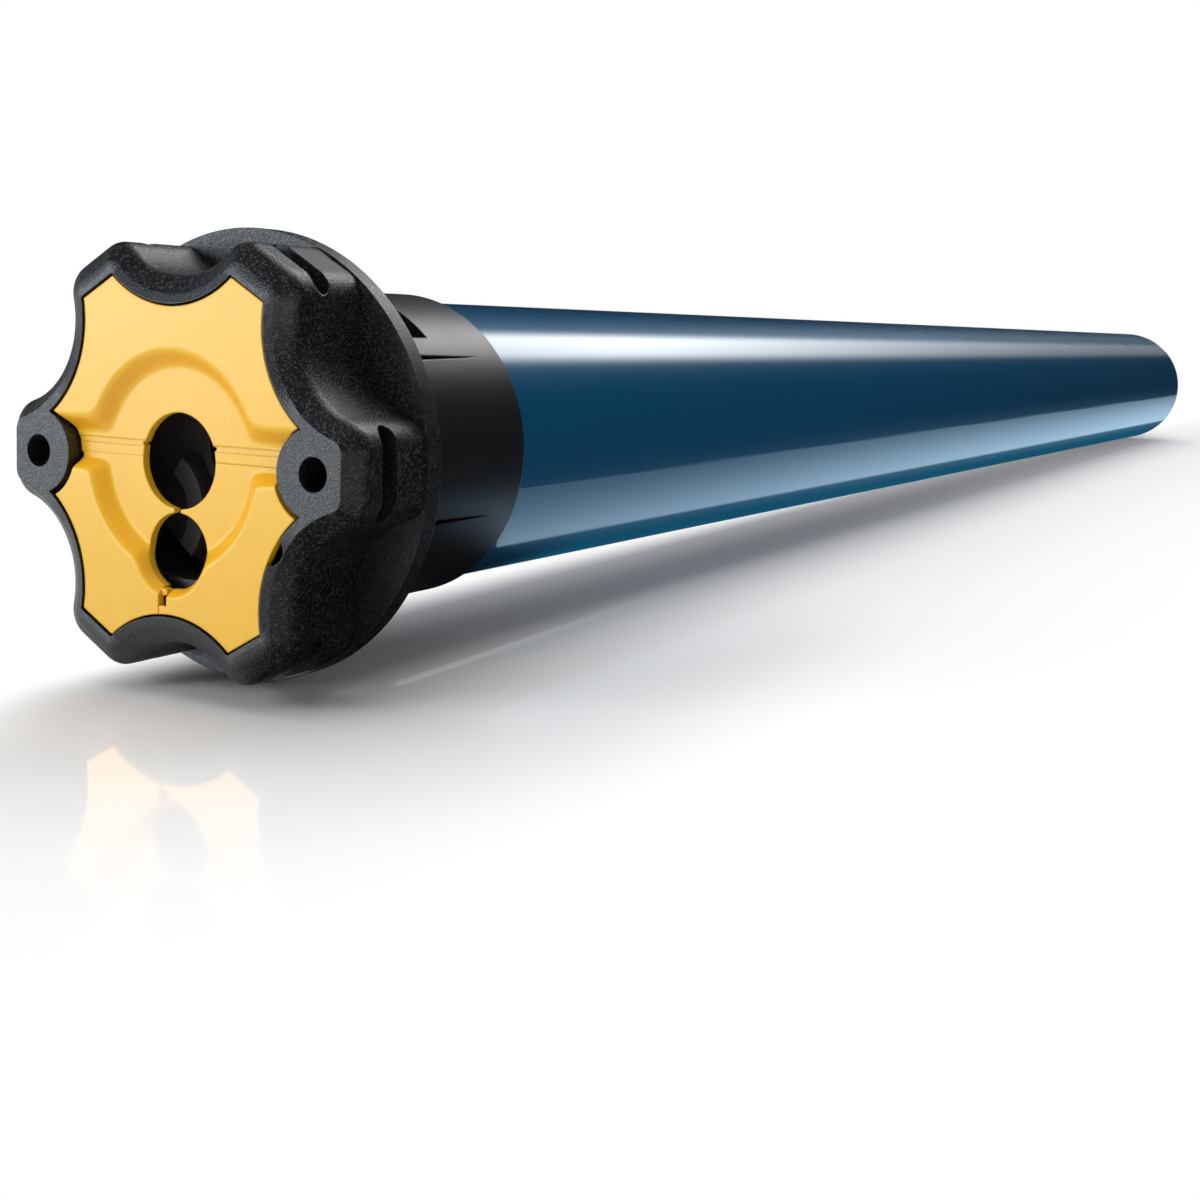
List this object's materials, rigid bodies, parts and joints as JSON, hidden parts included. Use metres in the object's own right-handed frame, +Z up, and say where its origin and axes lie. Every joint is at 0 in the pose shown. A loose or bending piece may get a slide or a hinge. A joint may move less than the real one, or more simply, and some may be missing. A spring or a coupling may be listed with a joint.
{
  "type": "tubular roller blind motor",
  "caption": "Tubular motor for a roller blind: star-shaped head with yellow hinged face cap, turning crown ring, long painted tube with geared motor, and flatted output shaft.",
  "frame": {"origin": "on the motor's axis, in the plane of the head's rim and bracket bosses, midway between the two bracket screw holes", "axes": "+Y along the motor from the head's face to the output shaft, +X to the right when facing the head, +Z up"},
  "size_m": [0.0664, 0.6276, 0.0664],
  "materials": {
    "head_black": "finely grained black moulding",
    "cap_yellow": "warm yellow satin moulding",
    "crown_grey": "dark grey satin moulding",
    "tube_blue": "deep blue gloss lacquer over steel",
    "socket_grey": "dark grey plastic",
    "contact_brass": "bright contact brass",
    "plain_steel": "turned steel",
    "magnet": "sintered magnet",
    "gear_plastic": "natural engineering plastic",
    "board_green": "lacquered circuit board",
    "tray_grey": "dark grey plastic",
    "relay_blue": "blue moulded case",
    "transformer": "taped transformer",
    "terminal_green": "green terminal plastic",
    "capacitor_black": "black sleeve",
    "lead_brown": "brown wire cover",
    "lead_red": "red wire cover",
    "capacitor_white": "white capacitor can",
    "cast_aluminium": "die cast aluminium",
    "core_iron": "stacked sheet iron",
    "winding_copper": "enamelled copper",
    "friction": "pressed friction lining",
    "sintered_steel": "sintered steel",
    "bush_bronze": "oil bronze"
  },
  "bodies": {
    "frame": {"head_housing": "head_black", "head_flange": "head_black", "face_cap": "cap_yellow", "cable_socket": "socket_grey", "socket_pins": "contact_brass", "counter_pin": "plain_steel", "counter_sensor": "board_green", "tube_plug": "tray_grey", "plug_screws": "plain_steel", "motor_tube": "tube_blue", "board_tray": "tray_grey", "control_board": "board_green", "relays": "relay_blue", "board_transformer": "transformer", "terminal_block": "terminal_green", "filter_capacitor": "capacitor_black", "supply_leads": "lead_brown", "motor_leads": "lead_red", "run_capacitor": "capacitor_white", "capacitor_holder": "tray_grey", "front_shield": "cast_aluminium", "rear_shield": "cast_aluminium", "front_bearing": "plain_steel", "rear_bearing": "plain_steel", "stator_core": "core_iron", "stator_windings": "winding_copper", "brake_housing": "tray_grey", "brake_spring": "plain_steel", "gear_case": "cast_aluminium", "gear_cover": "cast_aluminium", "output_bush": "bush_bronze", "case_screws": "plain_steel", "end_ring": "head_black"},
    "flap_left": {"cap_flap_left": "cap_yellow"},
    "flap_right": {"cap_flap_right": "cap_yellow"},
    "crown": {"crown_ring": "crown_grey"},
    "counter": {"counter_pinion": "gear_plastic", "counter_magnet": "magnet"},
    "armature": {"brake_armature": "core_iron"},
    "rotor": {"rotor_core": "core_iron", "rotor_shaft": "plain_steel", "sun_pinion": "sintered_steel", "brake_disc": "friction"},
    "stage_1": {"carrier_1": "sintered_steel"},
    "stage_2": {"carrier_2": "sintered_steel"},
    "output": {"output_carrier": "sintered_steel", "output_circlip": "plain_steel"},
    "planet_1a": {"planet_1a": "gear_plastic"},
    "planet_1b": {"planet_1b": "gear_plastic"},
    "planet_1c": {"planet_1c": "gear_plastic"},
    "planet_2a": {"planet_2a": "sintered_steel"},
    "planet_2b": {"planet_2b": "sintered_steel"},
    "planet_2c": {"planet_2c": "sintered_steel"},
    "planet_3a": {"planet_3a": "sintered_steel"},
    "planet_3b": {"planet_3b": "sintered_steel"},
    "planet_3c": {"planet_3c": "sintered_steel"}
  },
  "joints": [
    {"name": "flap_left_hinge", "type": "hinge", "parent": "frame", "child": "flap_left", "pos_m": [0, 0.0034, 0.0021], "axis": [-1, 0, 0], "range_deg": [0, 100]},
    {"name": "flap_right_hinge", "type": "hinge", "parent": "frame", "child": "flap_right", "pos_m": [0, 0.0034, 0.0021], "axis": [-1, 0, 0], "range_deg": [0, 100]},
    {"name": "crown_spin", "type": "hinge", "parent": "frame", "child": "crown", "pos_m": [0, 0.036, 0], "axis": [0, 1, 0], "continuous": true},
    {"name": "counter_spin", "type": "hinge", "parent": "frame", "child": "counter", "pos_m": [0, 0.0218, 0.01725], "axis": [0, 1, 0], "continuous": true},
    {"name": "brake_release", "type": "slide", "parent": "frame", "child": "armature", "axis": [0, 1, 0], "range_m": [0, 0.0005], "stiffness_N_per_m": 5000, "springref_m": -0.002, "deforming": ["brake_spring"]},
    {"name": "rotor_spin", "type": "hinge", "parent": "frame", "child": "rotor", "pos_m": [0, 0.4354, 0], "axis": [0, 1, 0], "continuous": true},
    {"name": "stage_1_spin", "type": "hinge", "parent": "frame", "child": "stage_1", "pos_m": [0, 0.5436, 0], "axis": [0, 1, 0], "continuous": true},
    {"name": "stage_2_spin", "type": "hinge", "parent": "frame", "child": "stage_2", "pos_m": [0, 0.5608, 0], "axis": [0, 1, 0], "continuous": true},
    {"name": "output_spin", "type": "hinge", "parent": "frame", "child": "output", "pos_m": [0, 0.6, 0], "axis": [0, 1, 0], "continuous": true},
    {"name": "planet_1a_spin", "type": "hinge", "parent": "stage_1", "child": "planet_1a", "pos_m": [0.01125, 0.536, 0], "axis": [0, 1, 0], "continuous": true},
    {"name": "planet_1b_spin", "type": "hinge", "parent": "stage_1", "child": "planet_1b", "pos_m": [-0.00562, 0.536, 0.00974], "axis": [0, 1, 0], "continuous": true},
    {"name": "planet_1c_spin", "type": "hinge", "parent": "stage_1", "child": "planet_1c", "pos_m": [-0.00562, 0.536, -0.00974], "axis": [0, 1, 0], "continuous": true},
    {"name": "planet_2a_spin", "type": "hinge", "parent": "stage_2", "child": "planet_2a", "pos_m": [0.01125, 0.5522, 0], "axis": [0, 1, 0], "continuous": true},
    {"name": "planet_2b_spin", "type": "hinge", "parent": "stage_2", "child": "planet_2b", "pos_m": [-0.00562, 0.5522, 0.00974], "axis": [0, 1, 0], "continuous": true},
    {"name": "planet_2c_spin", "type": "hinge", "parent": "stage_2", "child": "planet_2c", "pos_m": [-0.00562, 0.5522, -0.00974], "axis": [0, 1, 0], "continuous": true},
    {"name": "planet_3a_spin", "type": "hinge", "parent": "output", "child": "planet_3a", "pos_m": [0.01125, 0.5714, 0], "axis": [0, 1, 0], "continuous": true},
    {"name": "planet_3b_spin", "type": "hinge", "parent": "output", "child": "planet_3b", "pos_m": [-0.00562, 0.5714, 0.00974], "axis": [0, 1, 0], "continuous": true},
    {"name": "planet_3c_spin", "type": "hinge", "parent": "output", "child": "planet_3c", "pos_m": [-0.00562, 0.5714, -0.00974], "axis": [0, 1, 0], "continuous": true}
  ],
  "couplings": [
    {"joint": "counter_spin", "follows": "crown_spin", "ratio": 4.8333},
    {"joint": "stage_1_spin", "follows": "rotor_spin", "ratio": 0.2},
    {"joint": "stage_2_spin", "follows": "rotor_spin", "ratio": 0.04},
    {"joint": "output_spin", "follows": "rotor_spin", "ratio": 0.008},
    {"joint": "planet_1a_spin", "follows": "rotor_spin", "ratio": -0.53333},
    {"joint": "planet_1b_spin", "follows": "rotor_spin", "ratio": -0.53333},
    {"joint": "planet_1c_spin", "follows": "rotor_spin", "ratio": -0.53333},
    {"joint": "planet_2a_spin", "follows": "rotor_spin", "ratio": -0.10667},
    {"joint": "planet_2b_spin", "follows": "rotor_spin", "ratio": -0.10667},
    {"joint": "planet_2c_spin", "follows": "rotor_spin", "ratio": -0.10667},
    {"joint": "planet_3a_spin", "follows": "rotor_spin", "ratio": -0.021333},
    {"joint": "planet_3b_spin", "follows": "rotor_spin", "ratio": -0.021333},
    {"joint": "planet_3c_spin", "follows": "rotor_spin", "ratio": -0.021333}
  ]
}
